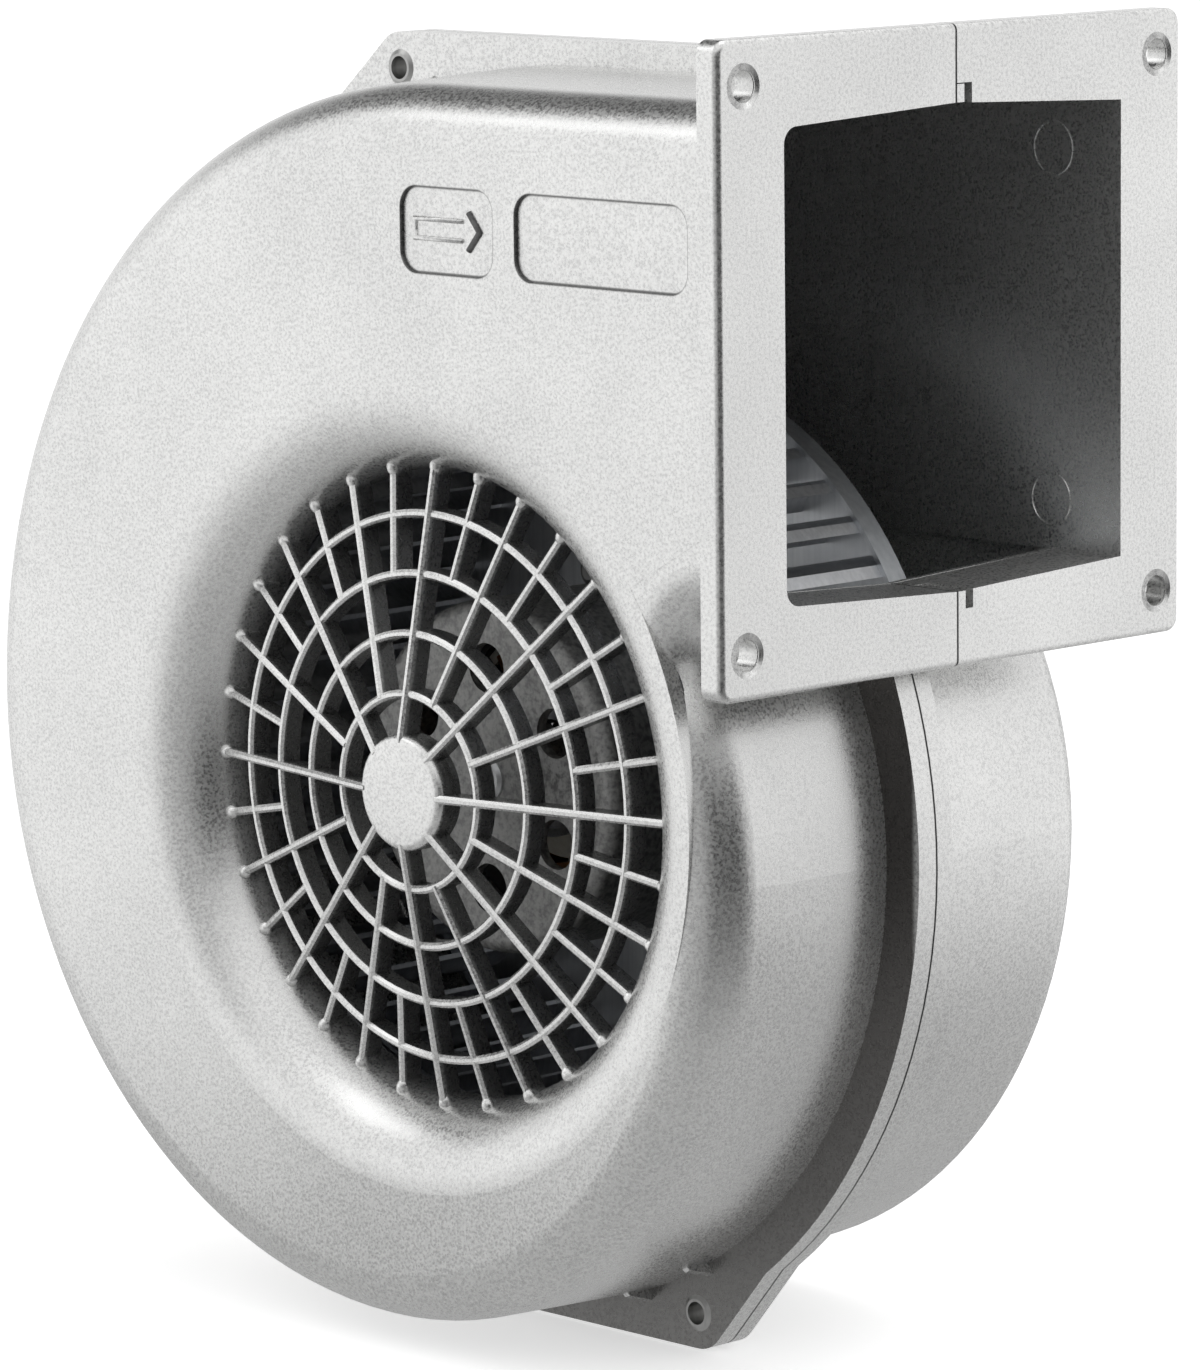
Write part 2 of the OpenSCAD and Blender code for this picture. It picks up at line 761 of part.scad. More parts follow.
module bearing_outer(z) {
    color("lightsteelblue") place() difference() {
        ring(bearing_r, bearing_r - 2.2, bearing_w, z);
        translate([0, 0, z + bearing_w / 2]) rotate_extrude() translate([(bearing_r + shaft_r) / 2, 0])
            circle(2.2, $fn = fine);
    }
}

module bearing_inner(z) {
    color("lightsteelblue") place() difference() {
        ring(shaft_r + 2.2, shaft_r, bearing_w, z);
        translate([0, 0, z + bearing_w / 2]) rotate_extrude() translate([(bearing_r + shaft_r) / 2, 0])
            circle(2.2, $fn = fine);
    }
}

// Seven balls in a flat cage.
module bearing_balls(z) {
    pitch = (bearing_r + shaft_r) / 2;
    color("goldenrod") place() translate([0, 0, z + bearing_w / 2]) {
        around(7) translate([pitch, 0, 0]) sphere(r = 1.9, $fn = fine);
        ring(pitch + 0.6, pitch - 0.6, 2, -1);
    }
}

module front_bearing_outer() { bearing_outer(front_bearing_z); }
module front_bearing_inner() { bearing_inner(front_bearing_z); }
module front_bearing_balls() { bearing_balls(front_bearing_z); }
module rear_bearing_outer() { bearing_outer(rear_bearing_z); }
module rear_bearing_inner() { bearing_inner(rear_bearing_z); }
module rear_bearing_balls() { bearing_balls(rear_bearing_z); }

// The spring washer that loads the front bearing.
module wave_washer() {
    color("silver") place() ring(bearing_r - 0.1, bearing_r - 2, 0.4, front_bearing_z + bearing_w);
}

module shaft_circlip() {
    color("dimgray") place() difference() {
        ring(shaft_r + 1.2, shaft_r - 0.6, 1, rear_bearing_z - 1.05);
        translate([0, -1.2, rear_bearing_z - 2]) cube([10, 2.4, 3]);
    }
}

// Screws through the shell's back wall into the motor's base.
module base_screws() {
    color("silver") place() around(4, 45) translate([screw_circle, 0, -back_depth]) {
        cylinder(d = screw_d - 0.02, h = wall + base_t + 1);
        translate([0, 0, -2.6]) difference() {
            cylinder(r = screw_d - 0.2, h = 2.6);
            translate([0, 0, -over]) cylinder(d = screw_d * 0.75, h = 2.6, $fn = 6);
        }
    }
}

// Rubber grommet in the cable's hole.
module cable_grommet() {
    color("black") place() translate([grommet_at[0], grommet_at[1], -back_depth]) rotate_extrude() difference() {
        union() {
            square([grommet_r - 0.05, wall]);
            translate([0, -1.8]) square([grommet_r + 2, 1.8]);
            translate([0, wall]) square([grommet_r + 1.4, 1.4]);
        }
        translate([0, -5]) square([grommet_r - 2, 20]);
    }
}

front_housing();
back_housing();
ear_rivets();
impeller_backplate();
impeller_blades();
impeller_front_ring();
impeller_rivets();
rotor_can();
magnet_ring();
shaft();
motor_base();
stator_core();
front_insulator();
rear_insulator();
stator_windings();
driver_board();
driver_parts();
board_screws();
front_bearing_outer();
front_bearing_inner();
front_bearing_balls();
rear_bearing_outer();
rear_bearing_inner();
rear_bearing_balls();
wave_washer();
shaft_circlip();
base_screws();
cable_grommet();
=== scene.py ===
"""Looks of a cast snail-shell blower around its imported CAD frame: camera, finishes, fine pieces, studio."""

import json
import math

import bpy
import numpy as np
from mathutils import Matrix, Vector
from mathutils.bvhtree import BVHTree


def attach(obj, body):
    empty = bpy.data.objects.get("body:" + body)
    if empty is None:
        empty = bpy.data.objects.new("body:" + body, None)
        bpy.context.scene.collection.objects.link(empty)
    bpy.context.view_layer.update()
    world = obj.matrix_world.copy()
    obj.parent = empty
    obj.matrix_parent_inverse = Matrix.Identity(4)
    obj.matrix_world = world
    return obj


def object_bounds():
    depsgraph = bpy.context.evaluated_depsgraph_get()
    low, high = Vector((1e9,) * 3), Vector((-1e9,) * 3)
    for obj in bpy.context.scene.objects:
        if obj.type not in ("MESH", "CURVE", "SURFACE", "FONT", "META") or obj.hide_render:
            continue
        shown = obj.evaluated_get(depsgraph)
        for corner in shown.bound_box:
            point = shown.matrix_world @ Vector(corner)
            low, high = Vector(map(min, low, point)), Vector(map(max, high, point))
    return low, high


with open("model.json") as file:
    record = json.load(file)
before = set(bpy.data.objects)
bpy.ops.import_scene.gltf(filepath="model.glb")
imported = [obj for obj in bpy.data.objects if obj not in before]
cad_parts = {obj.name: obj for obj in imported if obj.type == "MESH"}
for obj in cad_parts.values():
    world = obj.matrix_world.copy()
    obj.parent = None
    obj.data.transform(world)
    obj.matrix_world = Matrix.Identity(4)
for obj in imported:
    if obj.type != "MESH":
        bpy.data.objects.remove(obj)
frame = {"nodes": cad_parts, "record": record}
cad_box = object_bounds()
nodes = frame["nodes"]

# ---------------------------------------------------------------- sizes, in mm in the part's frame

MM = 0.001

# the wheel's axis, and the plane of the front casting's face
AXIS_X, AXIS_Z = -92.3, -81.8
FRONT_Y = -45.2

# the hairline between the castings: full and gone at these distances from the joint plane
JOINT_LINE_W = (0.14, 0.30)

# the two sunk fields on that face: depth, middle above the axis, height and corner, then middle and width
# of each, the painted shade line along their edges (how far inside the edge it runs, and where it is full and
# gone), and the band of depth behind which there is none
FIELD_DEEP, FIELD_Z, FIELD_H, FIELD_CORNER = 0.7, 100.3, 15.3, 4.0
ARROW_FIELD_X, ARROW_FIELD_W = 13.7, 23.4
PLAIN_FIELD_X, PLAIN_FIELD_W = 51.8, 42.0
FIELD_SHADE_IN, FIELD_SHADE_W = 0.15, (0.05, 0.42)
FIELD_BACK = (-44.0, -43.0)

# the guard: hub, fall of its dome for each mm outwards, radius of the throat; painted shade darkens its ribs
# between these depths under their crest, up to this radius, and in front of this depth
HUB_R, GRILLE_FALL, THROAT_R = 10.2, 0.193, 57.0
CREST_W = (0.35, 1.2)
GRILLE_EDGE = (55.5, 57.5)
GRILLE_BACK = (-22.0, -20.0)

# the flange: bolt spacing across and up, hole, and the broken edge round it
BOLT_ACROSS, BOLT_UP, BOLT_HOLE = 102.8, 94.4, 5.5
HOLE_EDGE_W = 1.1

# the front casting's rim: thickness, depth of the painted shade on its face, where the rim clears the flange,
# where the painted shade starts below the outlet, and how much there is at two heights
RIM_T = 4.5
RIM_SHADE_W = (0.4, 0.6)
RIM_CLEAR = (5.5, 7.0)
RIM_SHADE_START = (15.0, 50.0)
RIM_SHADE_THIN, RIM_SHADE_THICK = (-180.0, 0.70), (-90.0, 0.94)

# ---------------------------------------------------------------- camera

CAMERA_RIGHT = (0.69877, 0.71527, -0.01071)
CAMERA_UP = (-0.10275, 0.11517, 0.98802)
CAMERA_BACK = (0.70793, -0.68930, 0.15397)
CAMERA_SPOT = (0.79196, -0.85674, 0.12415)
CAMERA_LENS = 180.79


def frame_matrix(right, up, back, spot):
    """The 4 x 4 matrix whose columns are three directions and a place."""
    return Matrix([[right[i], up[i], back[i], spot[i]] for i in range(3)] + [[0, 0, 0, 1]])


def place_camera():
    """Camera from its right, up and back directions and its place in metres."""
    data = bpy.data.cameras.new("camera")
    camera = bpy.data.objects.new("camera", data)
    bpy.context.scene.collection.objects.link(camera)
    camera.matrix_world = frame_matrix(CAMERA_RIGHT, CAMERA_UP, CAMERA_BACK, CAMERA_SPOT)
    data.lens = CAMERA_LENS
    data.sensor_fit = "AUTO"
    data.sensor_width = 36.0
    data.clip_start, data.clip_end = 0.05, 50.0
    bpy.context.scene.camera = camera


place_camera()

# ---------------------------------------------------------------- node helpers

F, V = "NodeSocketFloat", "NodeSocketVector"


def put(tree, kind, **values):
    """Adds a shader node; values name its properties or its input sockets."""
    made = tree.nodes.new(kind)
    for key, value in values.items():
        if hasattr(made, key):
            setattr(made, key, value)
        else:
            made.inputs[key.replace("_", " ")].default_value = value
    return made


def feed(tree, socket, value):
    """Links a socket to another one, or gives it a constant."""
    if hasattr(value, "is_linked"):
        tree.links.new(value, socket)
    else:
        socket.default_value = value


def ramp(tree, source, stops):
    """A grey ramp fed by source; stops are (position, grey)."""
    made = tree.nodes.new("ShaderNodeValToRGB")
    elements = made.color_ramp.elements
    while len(elements) < len(stops):
        elements.new(0.5)
    for element, (at, grey) in zip(elements, stops):
        element.position = at
        element.color = (grey, grey, grey, 1)
    tree.links.new(source, made.inputs[0])
    return made.outputs["Color"]


def math_node(tree, operation, a, b=None, clamp=False):
    """One arithmetic step; a and b are sockets or numbers."""
    made = tree.nodes.new("ShaderNodeMath")
    made.operation = operation
    made.use_clamp = clamp
    feed(tree, made.inputs[0], a)
    if b is not None:
        feed(tree, made.inputs[1], b)
    return made.outputs[0]


def times(tree, a, b):
    """a multiplied by b."""
    return math_node(tree, "MULTIPLY", a, b)


def minus(tree, a, b):
    """a less b."""
    return math_node(tree, "SUBTRACT", a, b)


def flat_length(tree, offsets):
    """Length of a flat offset: the root of the sum of its two squares."""
    squares = [times(tree, value, value) for value in offsets]
    return math_node(tree, "SQRT", math_node(tree, "ADD", *squares))


def mix_colour(tree, factor, a, b):
    """Mixes two colours; each argument is a socket or a constant."""
    made = tree.nodes.new("ShaderNodeMix")
    made.data_type = "RGBA"
    for place, value in ((0, factor), (6, a), (7, b)):
        feed(tree, made.inputs[place], (*value, 1) if isinstance(value, tuple) else value)
    return made.outputs[2]


def smooth_step(tree, source, low, high):
    """0 below low, 1 above high, with a soft change between."""
    made = put(tree, "ShaderNodeMapRange", interpolation_type="SMOOTHSTEP")
    made.inputs["From Min"].default_value = low
    made.inputs["From Max"].default_value = high
    tree.links.new(source, made.inputs["Value"])
    return made.outputs["Result"]


def smooth_fall(tree, source, low, high):
    """1 below low, 0 above high, with a soft change between."""
    return minus(tree, 1.0, smooth_step(tree, source, low, high))


def split_vector(tree, source):
    """The node that gives a vector's three parts."""
    made = tree.nodes.new("ShaderNodeSeparateXYZ")
    tree.links.new(source, made.inputs[0])
    return made


def new_group(name, inputs, outputs):
    """An empty shader node group with named sockets; inputs are (name, kind, default)."""
    tree = bpy.data.node_groups.new(name, "ShaderNodeTree")
    for label, kind, default in inputs:
        socket = tree.interface.new_socket(name=label, in_out="INPUT", socket_type=kind)
        if default is not None:
            socket.default_value = default
    for label, kind in outputs:
        tree.interface.new_socket(name=label, in_out="OUTPUT", socket_type=kind)
    return tree, tree.nodes.new("NodeGroupInput"), tree.nodes.new("NodeGroupOutput")


def use_group(tree, group, **values):
    """Places a group; values name its inputs and are sockets or constants."""
    made = tree.nodes.new("ShaderNodeGroup")
    made.node_tree = group
    for key, value in values.items():
        feed(tree, made.inputs[key.replace("_", " ")], value)
    return made


# ---------------------------------------------------------------- effects shared by the finishes


def build_mottle():
    """Cast skin: broad cloudy tone, fine speckle and a pebbled height, from noise at three sizes."""
    tree, start, end = new_group(
        "cast_mottle",
        [("Vector", V, None), ("Cloud Scale", F, 28.0), ("Grain Scale", F, 900.0)],
        [("Tone", F), ("Speckle", F), ("Height", F)],
    )
    cloud = put(tree, "ShaderNodeTexNoise", Detail=3.0, Roughness=0.6)
    tree.links.new(start.outputs["Cloud Scale"], cloud.inputs["Scale"])
    grain = put(tree, "ShaderNodeTexNoise", Detail=4.0, Roughness=0.65)
    tree.links.new(start.outputs["Grain Scale"], grain.inputs["Scale"])
    pits = put(tree, "ShaderNodeTexVoronoi")
    tree.links.new(times(tree, start.outputs["Grain Scale"], 0.35), pits.inputs["Scale"])
    for made in (cloud, grain, pits):
        tree.links.new(start.outputs["Vector"], made.inputs["Vector"])
    specks = ramp(tree, grain.outputs[0], [(0.38, 0.0), (0.58, 1.0)])
    tree.links.new(cloud.outputs[0], end.inputs["Tone"])
    tree.links.new(specks, end.inputs["Speckle"])
    height = math_node(tree, "MULTIPLY_ADD", pits.outputs["Distance"], 0.4)
    tree.links.new(grain.outputs[0], height.node.inputs[2])
    tree.links.new(height, end.inputs["Height"])
    return tree


def build_streaks():
    """Rolled or drawn sheet: long soft streaks along one axis with cloudy tone."""
    tree, start, end = new_group(
        "drawn_streaks",
        [("Vector", V, None), ("Stretch", V, (1.0, 1.0, 0.04)), ("Scale", F, 900.0)],
        [("Streak", F), ("Cloud", F), ("Height", F)],
    )
    squeeze = put(tree, "ShaderNodeVectorMath", operation="MULTIPLY")
    tree.links.new(start.outputs["Vector"], squeeze.inputs[0])
    tree.links.new(start.outputs["Stretch"], squeeze.inputs[1])
    streak = put(tree, "ShaderNodeTexNoise", Detail=5.0, Roughness=0.6)
    tree.links.new(squeeze.outputs[0], streak.inputs["Vector"])
    tree.links.new(start.outputs["Scale"], streak.inputs["Scale"])
    cloud = put(tree, "ShaderNodeTexNoise", Scale=60.0, Detail=3.0)
    tree.links.new(start.outputs["Vector"], cloud.inputs["Vector"])
    tree.links.new(streak.outputs[0], end.inputs["Streak"])
    tree.links.new(cloud.outputs[0], end.inputs["Cloud"])
    tree.links.new(streak.outputs[0], end.inputs["Height"])
    return tree


def build_joint_line():
    """1 on the hairline where the two castings meet, 0 elsewhere."""
    tree, start, end = new_group("joint_line", [("Vector", V, None)], [("Line", F)])
    place = split_vector(tree, start.outputs[0])
    away = math_node(tree, "ABSOLUTE", place.outputs["Y"])
    tree.links.new(smooth_fall(tree, away, JOINT_LINE_W[0] * MM, JOINT_LINE_W[1] * MM), end.inputs[0])
    return tree


def build_hole_edges():
    """Height of the flange's face near its bolt holes: it falls in a ring, as a broken edge does."""
    tree, start, end = new_group("hole_edges", [("Vector", V, None)], [("Height", F)])
    place = split_vector(tree, start.outputs[0])
    offsets = []
    for axis, half in (("Y", BOLT_ACROSS / 2), ("Z", BOLT_UP / 2)):
        offsets.append(minus(tree, math_node(tree, "ABSOLUTE", place.outputs[axis]), half * MM))
    fall = put(tree, "ShaderNodeMapRange")
    fall.inputs["From Min"].default_value = BOLT_HOLE / 2 * MM
    fall.inputs["From Max"].default_value = (BOLT_HOLE / 2 + HOLE_EDGE_W) * MM
    tree.links.new(flat_length(tree, offsets), fall.inputs["Value"])
    on_face = smooth_step(tree, place.outputs["X"], -0.4 * MM, -0.2 * MM)
    low = times(tree, minus(tree, 1.0, fall.outputs[0]), on_face)
    tree.links.new(minus(tree, 1.0, low), end.inputs[0])
    return tree


def build_field_shade_line():
    """Painted shade along the rounded edge of each sunk field: 1 there, from the distance to a rounded rectangle,
    near zero.
    """
    tree, start, end = new_group("field_shade_line", [("Vector", V, None)], [("Line", F)])
    place = split_vector(tree, start.outputs[0])
    nearest = None
    for middle_x, wide in ((ARROW_FIELD_X, ARROW_FIELD_W), (PLAIN_FIELD_X, PLAIN_FIELD_W)):
        outside = []
        for axis, middle, size in (("X", AXIS_X + middle_x, wide), ("Z", AXIS_Z + FIELD_Z, FIELD_H)):
            off = math_node(tree, "ABSOLUTE", minus(tree, place.outputs[axis], middle * MM))
            outside.append(minus(tree, off, (size / 2 - FIELD_CORNER) * MM))
        inner = math_node(tree, "MINIMUM", math_node(tree, "MAXIMUM", *outside), 0.0)
        outer = flat_length(tree, [math_node(tree, "MAXIMUM", value, 0.0) for value in outside])
        away = minus(tree, math_node(tree, "ADD", outer, inner), FIELD_CORNER * MM)
        away = math_node(tree, "ABSOLUTE", math_node(tree, "ADD", away, FIELD_SHADE_IN * MM))
        nearest = away if nearest is None else math_node(tree, "MINIMUM", nearest, away)
    line = smooth_fall(tree, nearest, FIELD_SHADE_W[0] * MM, FIELD_SHADE_W[1] * MM)
    in_front = smooth_fall(tree, place.outputs["Y"], FIELD_BACK[0] * MM, FIELD_BACK[1] * MM)
    tree.links.new(times(tree, line, in_front), end.inputs[0])
    return tree


def build_grille_shade():
    """Painted shade on the guard's ribs: 1 on their sides, away from their bright crest, and 0 outside the throat.
    The crest lies on a cone that falls back evenly from the hub's edge outwards."""
    tree, start, end = new_group("grille_shade", [("Vector", V, None)], [("Deep", F)])
    place = split_vector(tree, start.outputs[0])
    offsets = [minus(tree, place.outputs[axis], middle * MM) for axis, middle in (("X", AXIS_X), ("Z", AXIS_Z))]
    radius = flat_length(tree, offsets)
    beyond_hub = math_node(tree, "MAXIMUM", minus(tree, radius, HUB_R * MM), 0.0)
    crest = minus(tree, times(tree, beyond_hub, GRILLE_FALL), -FRONT_Y * MM)
    under = smooth_step(tree, minus(tree, place.outputs["Y"], crest), CREST_W[0] * MM, CREST_W[1] * MM)
    inside = smooth_fall(tree, radius, GRILLE_EDGE[0] * MM, GRILLE_EDGE[1] * MM)
    in_front = smooth_fall(tree, place.outputs["Y"], GRILLE_BACK[0] * MM, GRILLE_BACK[1] * MM)
    tree.links.new(times(tree, times(tree, under, inside), in_front), end.inputs[0])
    return tree


def build_rim_shade():
    """Painted shade on the face that the front casting's rim turns to the inlet, below the outlet:
    points within half a millimetre of that plane whose surface faces -Y, thinning out downwards."""
    tree, start, end = new_group("rim_shade", [("Vector", V, None)], [("Mask", F)])
    place = split_vector(tree, start.outputs[0])
    facing = split_vector(tree, tree.nodes.new("ShaderNodeNewGeometry").outputs["Normal"])
    off = math_node(tree, "ABSOLUTE", math_node(tree, "ADD", place.outputs["Y"], RIM_T * MM))
    near = smooth_fall(tree, off, RIM_SHADE_W[0] * MM, RIM_SHADE_W[1] * MM)
    front = smooth_step(tree, times(tree, facing.outputs["Y"], -1.0), 0.75, 0.95)
    clear = smooth_step(tree, times(tree, place.outputs["X"], -1.0), RIM_CLEAR[0] * MM, RIM_CLEAR[1] * MM)
    below = smooth_step(tree, times(tree, place.outputs["Z"], -1.0), RIM_SHADE_START[0] * MM, RIM_SHADE_START[1] * MM)
    amount = put(tree, "ShaderNodeMapRange")
    for end_name, (height, share) in (("Min", RIM_SHADE_THIN), ("Max", RIM_SHADE_THICK)):
        amount.inputs["From " + end_name].default_value = height * MM
        amount.inputs["To " + end_name].default_value = share
    tree.links.new(place.outputs["Z"], amount.inputs["Value"])
    mask = times(tree, times(tree, near, front), clear)
    tree.links.new(times(tree, mask, times(tree, below, amount.outputs[0])), end.inputs[0])
    return tree


MOTTLE = build_mottle()
STREAKS = build_streaks()
GRILLE_SHADE = build_grille_shade()
FIELD_SHADE_LINE = build_field_shade_line()
RIM_SHADE = build_rim_shade()
JOINT_LINE = build_joint_line()
HOLE_EDGES = build_hole_edges()

# ---------------------------------------------------------------- finishes

# what darkens the shell's casting: the group, how much of it, and its colour; the first three are painted shade,
# the last is the castings' own dark joint line
SHELL_DARKS = (
    # painted shade on the guard's ribs behind their crest
    (GRILLE_SHADE, 0.75, (0.10, 0.10, 0.10)),
    # painted shade along the sunk fields' edges
    (FIELD_SHADE_LINE, 0.8, (0.05, 0.05, 0.05)),
    # painted shade on the rim's face below the outlet
    (RIM_SHADE, 1.0, (0.07, 0.064, 0.06)),
    (JOINT_LINE, 1.0, (0.02, 0.02, 0.02)),
)


FINISHES = {}


def finish_of(name, colour, metallic, roughness):
    """A material, kept under its name, with its Principled node, tree and Object coordinates."""
    made = FINISHES[name] = bpy.data.materials.new(name)
    made.use_nodes = True
    tree = made.node_tree
    shader = tree.nodes["Principled BSDF"]
    shader.inputs["Base Color"].default_value = (*colour, 1)
    shader.inputs["Metallic"].default_value = metallic
    shader.inputs["Roughness"].default_value = roughness
    coords = tree.nodes.new("ShaderNodeTexCoord").outputs["Object"]
    return tree, shader, coords


def uneven_gloss(tree, shader, pattern, roughness):
    """Roughness between two values, by a pattern from 0 to 1."""
    gloss = times(tree, pattern, roughness[1] - roughness[0])
    tree.links.new(math_node(tree, "ADD", gloss, roughness[0]), shader.inputs["Roughness"])


def cast_finish(name, light, dark, metallic=1.0, roughness=(0.30, 0.46), grain=1700.0, bump=0.07, shell=False):
    """Satin cast metal: speckled tone between two colours, uneven gloss, pebbled skin.
    The shell also has its dark places, which are painted shade on the guard, along the fields' edges and on the
    rim's face, a dark joint line, and the broken edges of its bolt holes."""
    tree, shader, coords = finish_of(name, light, metallic, roughness[0])
    skin = use_group(tree, MOTTLE, Vector=coords, Grain_Scale=grain)
    tone = times(tree, skin.outputs["Tone"], 0.5)
    tone = math_node(tree, "ADD", times(tree, skin.outputs["Speckle"], 0.65), tone, clamp=True)
    colour = mix_colour(tree, tone, dark, light)
    uneven_gloss(tree, shader, skin.outputs["Speckle"], roughness)
    lumps = put(tree, "ShaderNodeBump", Strength=bump, Distance=0.3 * MM)
    tree.links.new(skin.outputs["Height"], lumps.inputs["Height"])
    if shell:
        for group, amount, shade in SHELL_DARKS:
            mask = use_group(tree, group, Vector=coords).outputs[0]
            if amount != 1.0:
                mask = times(tree, mask, amount)
            colour = mix_colour(tree, mask, colour, shade)
        holes = use_group(tree, HOLE_EDGES, Vector=coords)
        edges = put(tree, "ShaderNodeBump", Strength=1.0, Distance=0.9 * MM)
        tree.links.new(holes.outputs[0], edges.inputs["Height"])
        tree.links.new(edges.outputs[0], lumps.inputs["Normal"])
    tree.links.new(colour, shader.inputs["Base Color"])
    tree.links.new(lumps.outputs[0], shader.inputs["Normal"])


def sheet_finish(name, light, dark, stretch=(1.0, 1.0, 0.04), scale=900.0, roughness=(0.25, 0.45)):
    """Rolled or ground metal: streaked tone and gloss."""
    tree, shader, coords = finish_of(name, light, 1.0, roughness[0])
    skin = use_group(tree, STREAKS, Vector=coords, Stretch=stretch, Scale=scale)
    tone = times(tree, skin.outputs["Streak"], skin.outputs["Cloud"])
    tone = math_node(tree, "MULTIPLY", tone, 3.2, clamp=True)
    tree.links.new(mix_colour(tree, tone, dark, light), shader.inputs["Base Color"])
    uneven_gloss(tree, shader, skin.outputs["Streak"], roughness)
    lumps = put(tree, "ShaderNodeBump", Strength=0.08, Distance=0.2 * MM)
    tree.links.new(skin.outputs["Height"], lumps.inputs["Height"])
    tree.links.new(lumps.outputs[0], shader.inputs["Normal"])


def soft_finish(name, light, dark, roughness=(0.5, 0.7)):
    """Plastic, rubber or enamel: no metal, fine speckle."""
    cast_finish(name, light, dark, 0.0, roughness, 1200.0, 0.1)


cast_finish("cast_shell", (0.86, 0.86, 0.85), (0.50, 0.50, 0.50), 0.85, (0.22, 0.36), shell=True)
cast_finish("rotor_cast", (0.56, 0.56, 0.55), (0.16, 0.16, 0.16), 0.9, (0.42, 0.60), 900.0, 0.3)
# painted shade: the chevron's dark colour stands for the shadow round a raised cast mark
cast_finish("painted_shade_cast", (0.16, 0.16, 0.16), (0.05, 0.05, 0.05), 0.3, (0.45, 0.6))
cast_finish("base_cast", (0.60, 0.61, 0.62), (0.42, 0.43, 0.44))
sheet_finish("rivet_steel", (0.50, 0.50, 0.49), (0.26, 0.26, 0.26))
sheet_finish("galvanised_sheet", (0.66, 0.68, 0.70), (0.42, 0.44, 0.47))
sheet_finish("blade_sheet", (0.76, 0.77, 0.79), (0.46, 0.47, 0.49))
sheet_finish("ground_steel", (0.72, 0.73, 0.74), (0.52, 0.53, 0.54), stretch=(1.0, 0.05, 1.0))
sheet_finish("lamination", (0.36, 0.36, 0.38), (0.20, 0.20, 0.22), (0.02, 1.0, 0.02), 2500.0)
sheet_finish("copper_wire", (0.72, 0.36, 0.16), (0.42, 0.17, 0.06), scale=600.0)
sheet_finish("screw_zinc", (0.74, 0.75, 0.76), (0.50, 0.51, 0.52))
sheet_finish("ball_steel", (0.80, 0.80, 0.80), (0.66, 0.66, 0.66), roughness=(0.08, 0.2))
sheet_finish("spring_steel", (0.45, 0.45, 0.47), (0.26, 0.26, 0.29))
soft_finish("magnet", (0.13, 0.13, 0.14), (0.08, 0.08, 0.085))
soft_finish("insulator", (0.86, 0.83, 0.74), (0.76, 0.72, 0.62))
soft_finish("board", (0.05, 0.25, 0.12), (0.03, 0.16, 0.08), (0.25, 0.4))
soft_finish("chips", (0.05, 0.05, 0.05), (0.03, 0.03, 0.03))
soft_finish("grommet_rubber", (0.04, 0.04, 0.04), (0.02, 0.02, 0.02), (0.6, 0.8))

for entry in frame["record"]["subparts"]:
    body_object = nodes[entry["node"]]
    finish = FINISHES[entry["material_slot"]]
    if not body_object.material_slots:
        body_object.data.materials.append(finish)
    for material_slot in body_object.material_slots:
        material_slot.material = finish

# ---------------------------------------------------------------- mesh helpers


def grid_faces(rows, columns, close_rows=False):
    """Four-sided faces of a grid of points that runs round along its columns, and along its rows if closed:
    corner (i, j) joins (i + 1, j), (i + 1, j + 1) and (i, j + 1)."""
    i, j = np.meshgrid(np.arange(rows if close_rows else rows - 1), np.arange(columns), indexing="ij")
    i2, j2 = (i + 1) % rows, (j + 1) % columns
    corners = [i * columns + j, i2 * columns + j, i2 * columns + j2, i * columns + j2]
    return np.stack(corners, -1).reshape(-1, 4).tolist()


def domed_form(rings, first_pole, last_pole):
    """Closes rings of points (ring, place round it, xyz) with a fan of triangles to a pole at each end."""
    count, sides = rings.shape[:2]
    points = np.concatenate([rings.reshape(-1, 3), [first_pole, last_pole]])
    j = np.arange(sides)
    k, last = (j + 1) % sides, (count - 1) * sides
    first_fan = np.stack([j, k, np.full(sides, count * sides)], 1)
    last_fan = np.stack([last + j, np.full(sides, count * sides + 1), last + k], 1)
    return points, grid_faces(count, sides) + first_fan.tolist() + last_fan.tolist()


def facing_out(points, faces):
    """The faces of a closed form, turned round if its volume is negative.
    The volume is a sixth of the sum of a . (b x c) over the triangles (a, b, c) that fan out in each face."""
    fans = np.array([(face[0], face[i], face[i + 1]) for face in faces for i in range(1, len(face) - 1)])
    a, b, c = points[fans].transpose(1, 0, 2)
    return faces if (a * np.cross(b, c)).sum() > 0 else [face[::-1] for face in faces]


def mesh_piece(name, forms, finish, body="housing"):
    """One piece that rides on a body, from closed forms (points in mm, faces), each made to face outwards."""
    faces, offset = [], 0
    for points, form_faces in forms:
        faces += [[corner + offset for corner in face] for face in facing_out(points, form_faces)]
        offset += len(points)
    mesh = bpy.data.meshes.new(name)
    mesh.from_pydata((np.concatenate([points for points, _ in forms]) * MM).tolist(), [], faces)
    mesh.validate()
    mesh.update()
    mesh.polygons.foreach_set("use_smooth", [True] * len(mesh.polygons))
    piece = bpy.data.objects.new(name, mesh)
    bpy.context.scene.collection.objects.link(piece)
    piece.data.materials.append(FINISHES[finish])
    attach(piece, body)
    return piece


def surface_of(node):
    """A search tree over a CAD node's faces in the part's frame."""
    body_object = nodes[node]
    mesh = body_object.data
    points = [body_object.matrix_world @ vertex.co for vertex in mesh.vertices]
    return BVHTree.FromPolygons(points, [tuple(polygon.vertices) for polygon in mesh.polygons])


def hit_along(surface, start, direction):
    """Where a ray from a point in mm first meets a surface, in mm."""
    hit = surface.ray_cast(Vector(start) * MM, Vector(direction))[0]
    return np.array(hit) / MM


# ---------------------------------------------------------------- direction arrow

